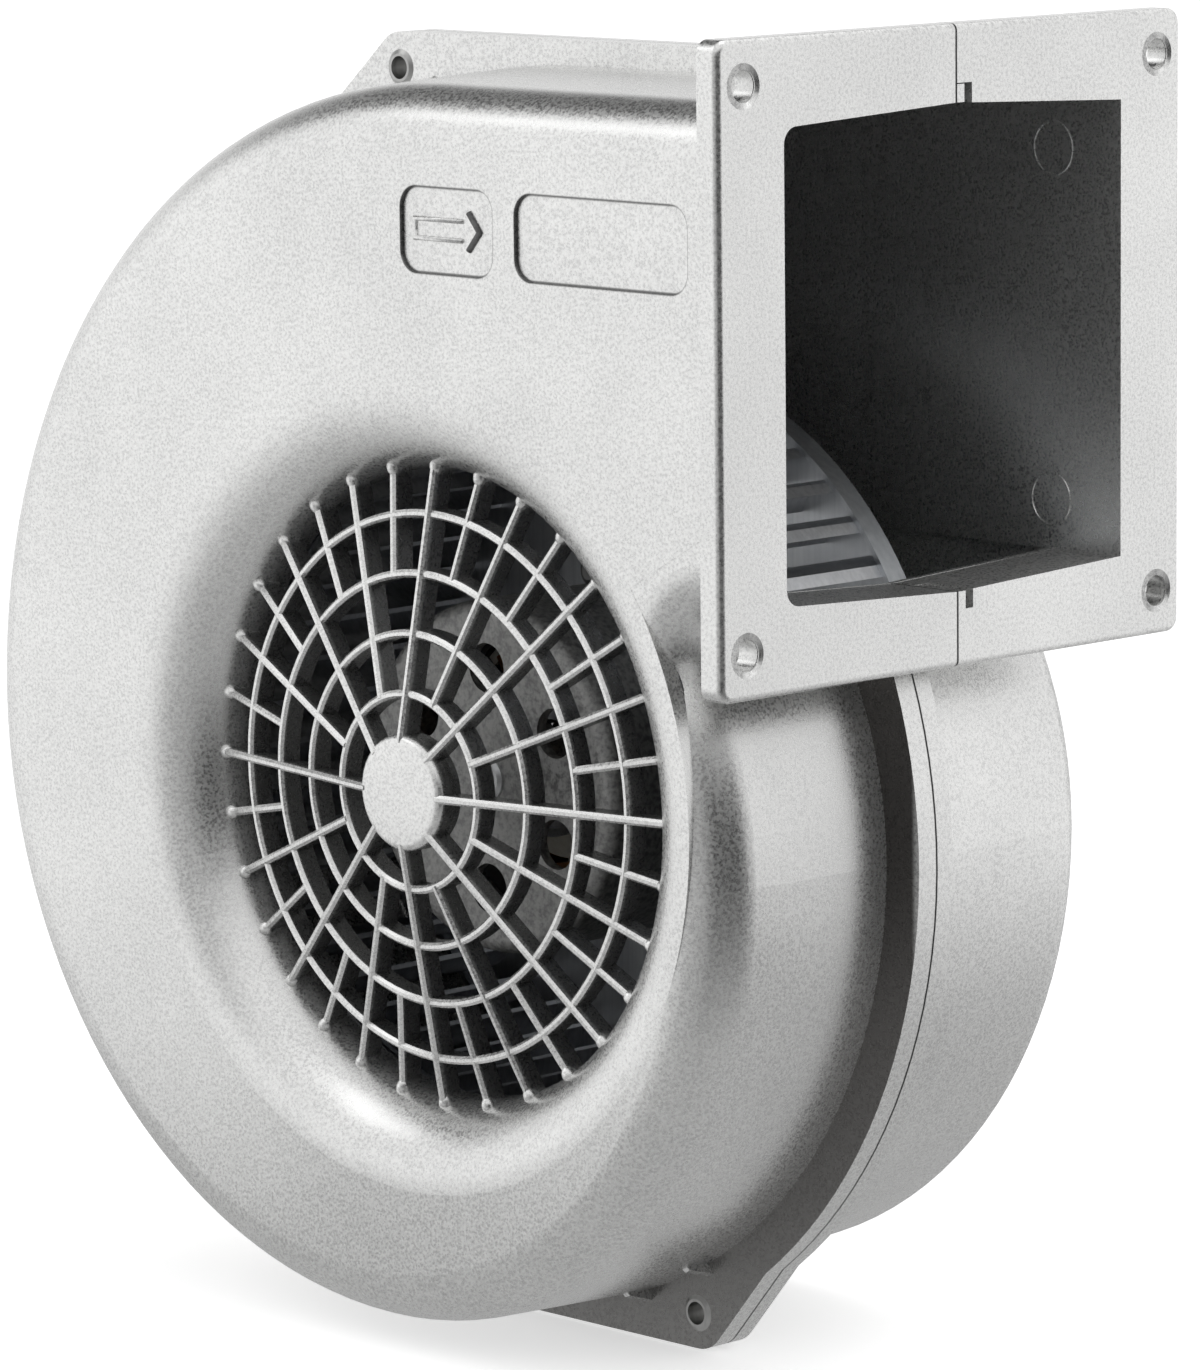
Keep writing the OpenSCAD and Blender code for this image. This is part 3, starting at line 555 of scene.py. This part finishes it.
STROKE_W, STROKE_H, STROKE_SUNK = 0.9, 0.5, 0.1
# corners of the strokes on the field's floor, right of the axis and above it
SHAFT_LINE = [[17.2, 102.2], [5.3, 102.2], [5.3, 98.8], [17.2, 98.8]]
HEAD_LINE = [[18.9, 103.8], [21.6, 100.5], [18.8, 97.2]]


def half_round(width, height, steps=7):
    """Half an ellipse standing on a flat foot that is sunk a little."""
    t = np.linspace(0, math.pi, steps)
    top = np.stack([-np.cos(t) * width / 2, np.sin(t) * height], 1)
    return np.concatenate([[[-width / 2, -STROKE_SUNK]], top, [[width / 2, -STROKE_SUNK]]])[::-1]


def carried_profile(path, profile):
    """Sweeps a flat profile along an open path in the x-z plane: point (i, j) is path i plus profile j's
    first value along the path's sideways normal and its second value towards -y.
    At a bend the sideways step is lengthened by 1 / cos(half the turn), so the stroke keeps its width."""
    path = np.asarray(path, float)
    steps = np.diff(path, axis=0)
    steps /= np.linalg.norm(steps, axis=1, keepdims=True)
    ahead, behind = np.concatenate([steps, steps[-1:]]), np.concatenate([steps[:1], steps])
    middle = ahead + behind
    middle /= np.linalg.norm(middle, axis=1, keepdims=True)
    side = np.stack([-middle[:, 1], middle[:, 0]], 1) / (middle * ahead).sum(1, keepdims=True)
    flat = path[:, None, :] + side[:, None, :] * profile[None, :, :1]
    rise = np.broadcast_to(-profile[None, :, 1], flat.shape[:2])
    points = np.stack([flat[..., 0], rise, flat[..., 1]], 2)
    rows, columns = points.shape[:2]
    caps = [list(range(columns)), list(range((rows - 1) * columns, rows * columns))[::-1]]
    return points.reshape(-1, 3), grid_faces(rows, columns) + caps


def field_stroke(name, line, width, height, finish):
    """A raised stroke with a half-round section along a line on the floor of the arrow's field."""
    points, faces = carried_profile(line, half_round(width, height))
    return mesh_piece(name, [(points + np.array([AXIS_X, FRONT_Y + FIELD_DEEP, AXIS_Z]), faces)], finish)


# the chevron is a thicker stroke coloured dark as painted shade; the shaft is two lines joined at their left ends
field_stroke("arrow_head", HEAD_LINE, 1.3 * STROKE_W, 1.2 * STROKE_H, "painted_shade_cast")
field_stroke("direction_arrow", SHAFT_LINE, STROKE_W, STROKE_H, "cast_shell")

# ---------------------------------------------------------------- hub cap, spoke feet, ejector marks

CAP_R, CAP_EDGE, CAP_DEEP, CAP_RISE, CAP_CROWN = HUB_R + 0.25, 1.4, 4.0, 0.55, 0.05
SPOKES = 16
FOOT_RADII = (1.9, 1.35, 1.5)
FOOT_SUNK, FOOT_BEHIND = 0.1, 0.9
# the ray that finds the flare starts inside the throat and runs beside the spoke, so it misses the guard
FLARE_START, FLARE_BESIDE = 51.0, math.radians(3.0)
EJECTOR_R = 4.7
DUCT_INSIDE_Y = 20.0
EJECTOR_SPOTS = ((-16.5, 30.6), (-17.1, -31.5))
# section of an ejector ring: (outwards from its middle line, off the wall)
EJECTOR_SECTION = np.array([[-0.28, -0.1], [-0.16, 0.16], [0.16, 0.16], [0.28, -0.1]])


def hub_cap():
    """The hub's rounded front, which hides the spokes' roots: a profile of (radius, depth behind the
    crown) turned about the axis. It is straight, then a quarter circle, then a low crown."""
    t = np.linspace(0, math.pi / 2, 7)
    edge = np.stack([CAP_R - CAP_EDGE + CAP_EDGE * np.cos(t), CAP_EDGE - CAP_EDGE * np.sin(t)], 1)
    share = np.array([0.6, 0.3])
    crown = np.stack([CAP_R * share, -CAP_CROWN * (1 - share)], 1)
    radius, depth = np.concatenate([[[CAP_R, CAP_DEEP]], edge, crown]).T[:, :, None]
    turn = np.linspace(0, 2 * math.pi, 72, endpoint=False)[None, :]
    top = FRONT_Y - CAP_RISE
    rings = np.stack(
        [AXIS_X + radius * np.cos(turn), np.broadcast_to(top + depth, (len(depth), turn.size)),
         AXIS_Z + radius * np.sin(turn)], -1)
    form = domed_form(rings, [AXIS_X, top + CAP_DEEP, AXIS_Z], [AXIS_X, top - CAP_CROWN, AXIS_Z])
    return mesh_piece("hub_cap", [form], "cast_shell")


def squashed_ball(centre, radii, turn, rings=8, sides=14):
    """An ellipsoid by latitude and longitude: radii along the spoke, across it and along the axis,
    then turned by an angle about the axis."""
    latitude = np.linspace(-math.pi / 2, math.pi / 2, rings + 1)[1:-1, None]
    longitude = (np.arange(sides) * 2 * math.pi / sides)[None, :]
    along = np.cos(latitude) * np.cos(longitude) * radii[0]
    aside = np.cos(latitude) * np.sin(longitude) * radii[1]
    deep = np.broadcast_to(-np.sin(latitude) * radii[2], along.shape)
    cos, sin = math.cos(turn), math.sin(turn)
    form = np.stack([along * cos - aside * sin, deep, along * sin + aside * cos], -1) + centre
    pole = np.array([0, radii[2], 0])
    return domed_form(form, centre + pole, centre - pole)


def spoke_feet():
    """Small rounded feet where each of the guard's long and short spokes runs into the flare."""
    front = surface_of("front_housing")
    depth = FRONT_Y + GRILLE_FALL * (THROAT_R - HUB_R) + FOOT_BEHIND
    step = 2 * math.pi / SPOKES
    forms = []
    for turn in [step * i for i in range(SPOKES)] + [step * (i + 0.5) for i in range(SPOKES)]:
        beside = turn + FLARE_BESIDE
        outwards = np.array([math.cos(beside), 0, math.sin(beside)])
        axis_spot = np.array([AXIS_X, 0, AXIS_Z])
        hit = hit_along(front, axis_spot + FLARE_START * outwards + (0, depth, 0), outwards)
        reach = math.hypot(hit[0] - AXIS_X, hit[2] - AXIS_Z) - FOOT_SUNK
        centre = axis_spot + (reach * math.cos(turn), depth, reach * math.sin(turn))
        forms.append(squashed_ball(centre, FOOT_RADII, turn))
    return mesh_piece("spoke_feet", forms, "cast_shell")


def ejector_marks():
    """Two fine raised rings that the mould's ejector pins left on the duct's back wall.
    The wall is flat, so three rays give its plane, y = a + b dx + c dz, and the rings stand on that."""
    wall = surface_of("back_housing")
    turn = np.linspace(0, 2 * math.pi, 64, endpoint=False)[:, None]
    radius = EJECTOR_R + EJECTOR_SECTION[None, :, 0]
    forms = []
    for x, z in EJECTOR_SPOTS:
        here, right, above = (
            hit_along(wall, (x + dx, DUCT_INSIDE_Y, z + dz), (0, 1, 0))[1]
            for dx, dz in ((0, 0), (EJECTOR_R, 0), (0, EJECTOR_R))
        )
        dx, dz = radius * np.cos(turn), radius * np.sin(turn)
        plane = here + (right - here) / EJECTOR_R * dx + (above - here) / EJECTOR_R * dz
        points = np.stack([x + dx, plane - EJECTOR_SECTION[None, :, 1], z + dz], -1)
        forms.append((points.reshape(-1, 3), grid_faces(len(turn), len(EJECTOR_SECTION), close_rows=True)))
    return mesh_piece("ejector_marks", forms, "cast_shell")


hub_cap()
spoke_feet()
ejector_marks()

# ---------------------------------------------------------------- studio

BLOWER_MIDDLE = (-0.09, 0.0, -0.06)

# Brightness of the surround at eye level, by the angle from straight in front: (turns, brightness).
# The inlet side faces turn 0.5; the camera stands at 0.625; the turns grow to the right.
PANELS = 1.15
AROUND = [
    (0.0, 0.60), (0.12, 0.95), (0.25, 0.80), (0.33, 1.00), (0.43, 0.95), (0.48, 0.50), (0.55, 0.36), (0.595, 0.25),
    (0.62, 0.0), (0.785, 0.0), (0.82, 0.45), (0.855, 0.95), (0.92, 1.00), (0.96, 0.85), (1.0, 0.60),
]
BELOW_GREY = (0.42, 0.42, 0.42)
CEILING_GAP = (-0.74, 0.22, 0.63)
FLOOR_REACH, FLOOR_BELOW = 12.0, 0.0005


def area_light(name, spot, aim, size, watts):
    """A soft lamp at a spot, turned to an aim."""
    data = bpy.data.lights.new(name, "AREA")
    data.shape = "RECTANGLE"
    data.size, data.size_y = size
    data.energy = watts
    lamp = bpy.data.objects.new(name, data)
    bpy.context.scene.collection.objects.link(lamp)
    spot, aim = np.array(spot, float), np.array(aim, float)
    back = (spot - aim) / np.linalg.norm(spot - aim)
    side = np.cross([0, 0, 1.0], back)
    side /= np.linalg.norm(side)
    lamp.matrix_world = frame_matrix(side, np.cross(back, side), back, spot)


def build_surround():
    """Brightness of the studio in a direction: a ring of soft panels with a dark gap in front,
    a mid-grey floor below, and a bright ceiling with a dark gap at the upper left."""
    tree, start, end = new_group("surround", [("Direction", V, None)], [("Brightness", F)])
    unit = put(tree, "ShaderNodeVectorMath", operation="NORMALIZE")
    tree.links.new(start.outputs[0], unit.inputs[0])
    x, y, z = split_vector(tree, unit.outputs[0]).outputs
    turn = math_node(tree, "ARCTAN2", x, times(tree, y, -1.0))
    turn = math_node(tree, "ADD", times(tree, turn, 0.5 / math.pi), 0.5)
    ring = ramp(tree, turn, AROUND)
    below = smooth_step(tree, times(tree, z, -1.0), 0.10, 0.75)
    above = smooth_step(tree, z, 0.15, 0.60)
    gap = put(tree, "ShaderNodeVectorMath", operation="DOT_PRODUCT")
    tree.links.new(unit.outputs[0], gap.inputs[0])
    gap.inputs[1].default_value = CEILING_GAP
    ceiling = ramp(tree, gap.outputs["Value"], [(0.78, 0.85), (0.92, 0.0)])
    total = mix_colour(tree, below, mix_colour(tree, above, ring, ceiling), BELOW_GREY)
    tree.links.new(total, end.inputs[0])
    return tree


SURROUND = build_surround()


def build_world():
    """White to the camera, the surround, which is a little brighter, to light and gloss."""
    world = bpy.data.worlds.new("studio")
    world.use_nodes = True
    bpy.context.scene.world = world
    tree = world.node_tree
    back = tree.nodes["Background"]
    coords = tree.nodes.new("ShaderNodeTexCoord").outputs["Generated"]
    around = use_group(tree, SURROUND, Direction=coords)
    path = tree.nodes.new("ShaderNodeLightPath")
    shade = mix_colour(tree, path.outputs["Is Camera Ray"], around.outputs[0], (1.0, 1.0, 1.0))
    tree.links.new(shade, back.inputs["Color"])
    lift = math_node(tree, "MULTIPLY_ADD", path.outputs["Is Camera Ray"], 1.0 - PANELS)
    lift.node.inputs[2].default_value = PANELS
    tree.links.new(lift, back.inputs["Strength"])


def lay_floor():
    """A pale level floor under the lowest point, far wider than the view; gloss sees the surround through it."""
    low, reach = cad_box[0][2] - FLOOR_BELOW, FLOOR_REACH
    mesh = bpy.data.meshes.new("floor")
    corners = [(-reach, -reach, low), (reach, -reach, low), (reach, reach, low), (-reach, reach, low)]
    mesh.from_pydata(corners, [], [(0, 1, 2, 3)])
    floor = bpy.data.objects.new("floor", mesh)
    bpy.context.scene.collection.objects.link(floor)
    tree, shader, coords = finish_of("floor_paper", (0.93, 0.93, 0.93), 0.0, 0.8)
    shader.inputs["Specular IOR Level"].default_value = 0.1
    path = tree.nodes.new("ShaderNodeLightPath")
    lift = put(tree, "ShaderNodeEmission", Color=(1, 1, 1, 1))
    tree.links.new(times(tree, path.outputs["Is Camera Ray"], 0.5), lift.inputs["Strength"])
    paper = tree.nodes.new("ShaderNodeAddShader")
    tree.links.new(shader.outputs[0], paper.inputs[0])
    tree.links.new(lift.outputs[0], paper.inputs[1])
    away = put(tree, "ShaderNodeVectorMath", operation="SUBTRACT")
    tree.links.new(coords, away.inputs[0])
    away.inputs[1].default_value = BLOWER_MIDDLE
    around = use_group(tree, SURROUND, Direction=away.outputs[0])
    mirror = put(tree, "ShaderNodeEmission", Strength=PANELS)
    tree.links.new(around.outputs[0], mirror.inputs["Color"])
    pick = tree.nodes.new("ShaderNodeMixShader")
    tree.links.new(path.outputs["Is Glossy Ray"], pick.inputs[0])
    tree.links.new(paper.outputs[0], pick.inputs[1])
    tree.links.new(mirror.outputs[0], pick.inputs[2])
    tree.links.new(pick.outputs[0], tree.nodes["Material Output"].inputs["Surface"])
    mesh.materials.append(FINISHES["floor_paper"])


area_light("key_light", (-0.95, -0.70, 1.05), BLOWER_MIDDLE, (0.7, 0.7), 1.5)
area_light("top_light", (0.10, 0.45, 1.35), BLOWER_MIDDLE, (1.1, 0.8), 3.0)
build_world()
lay_floor()

bpy.context.scene.view_settings.view_transform = "Standard"
